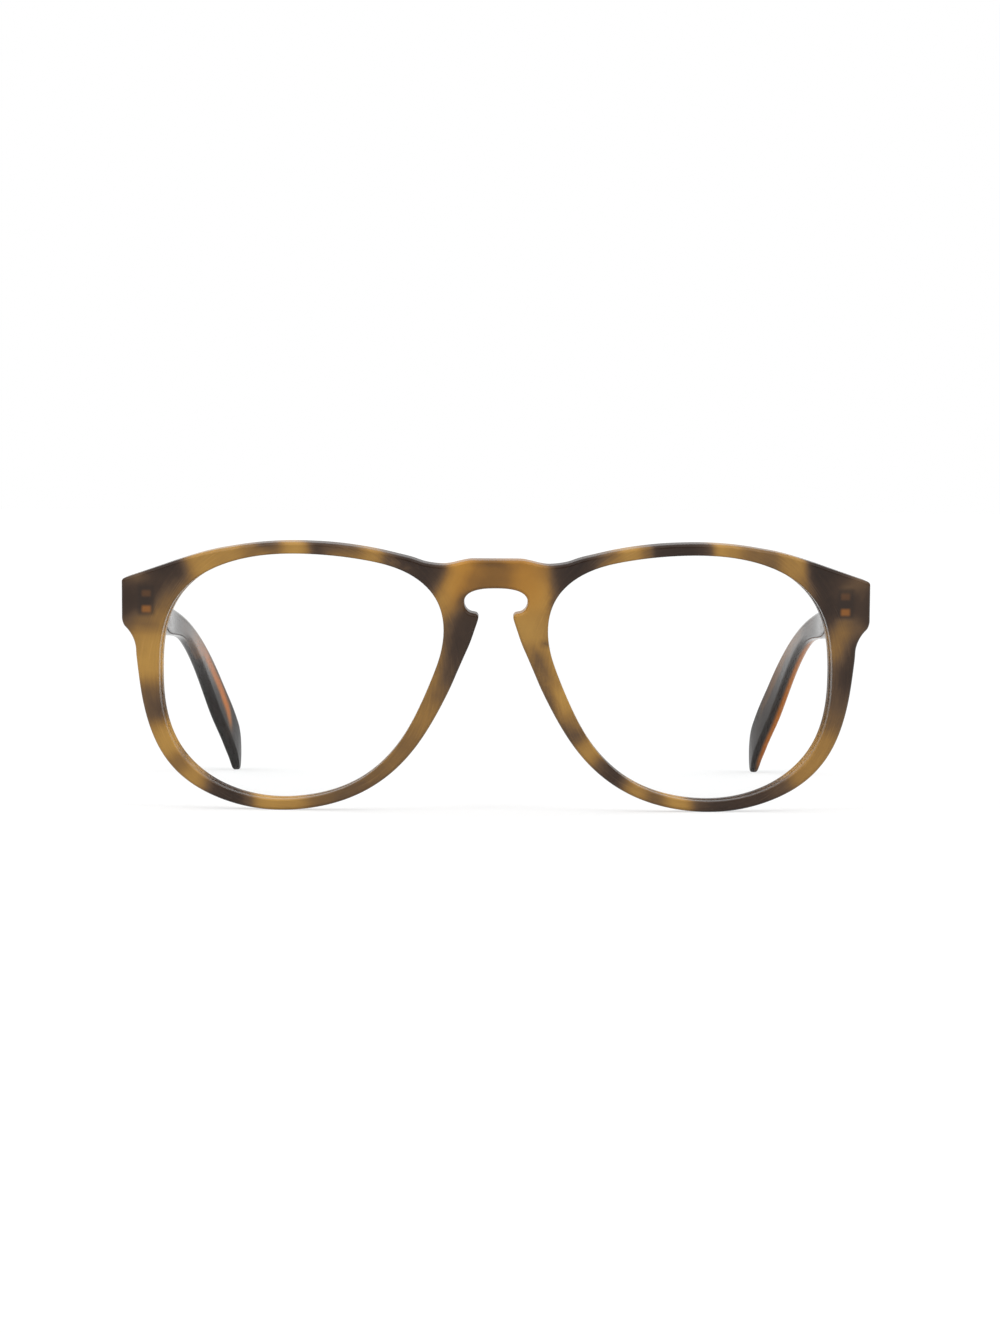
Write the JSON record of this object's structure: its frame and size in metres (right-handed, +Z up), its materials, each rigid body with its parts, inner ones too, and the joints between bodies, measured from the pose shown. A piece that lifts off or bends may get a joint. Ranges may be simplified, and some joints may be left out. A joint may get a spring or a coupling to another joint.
{
  "type": "eyeglasses",
  "caption": "Panto eyeglasses with a keyhole bridge, clear lenses, cemented nose pads and wire-core temples that fold behind the front.",
  "frame": {"origin": "on the table plane under the rims and temple tips, at the middle of the whole object's box seen from above", "axes": "+Z up from the table; the lenses face -Y and the temples run to +Y; +X is the wearer's left"},
  "size_m": [0.1432, 0.1458, 0.0517],
  "materials": {
    "front_acetate": "satin tumbled tortoiseshell acetate",
    "temple_acetate": "satin tumbled dark tortoiseshell acetate",
    "lens_clear": "clear, polished",
    "hinge_metal": "plated, slightly dull"
  },
  "bodies": {
    "front": {"front_frame": "front_acetate", "nose_pad_left": "front_acetate", "nose_pad_right": "front_acetate", "lens_left": "lens_clear", "lens_right": "lens_clear", "front_hinge_left": "hinge_metal", "front_hinge_right": "hinge_metal", "hinge_screw_left": "hinge_metal", "hinge_screw_right": "hinge_metal"},
    "temple_left": {"temple_left": "temple_acetate", "temple_hinge_left": "hinge_metal", "core_wire_left": "hinge_metal"},
    "temple_right": {"temple_right": "temple_acetate", "temple_hinge_right": "hinge_metal", "core_wire_right": "hinge_metal"}
  },
  "joints": [
    {"name": "temple_left_fold", "type": "hinge", "parent": "front", "child": "temple_left", "pos_m": [0.06497, -0.05931, 0.04047], "axis": [0, -0.1283, 0.9917], "range_deg": [0, 87]},
    {"name": "temple_right_fold", "type": "hinge", "parent": "front", "child": "temple_right", "pos_m": [-0.06497, -0.05931, 0.04047], "axis": [0, 0.1283, -0.9917], "range_deg": [0, 82]}
  ]
}
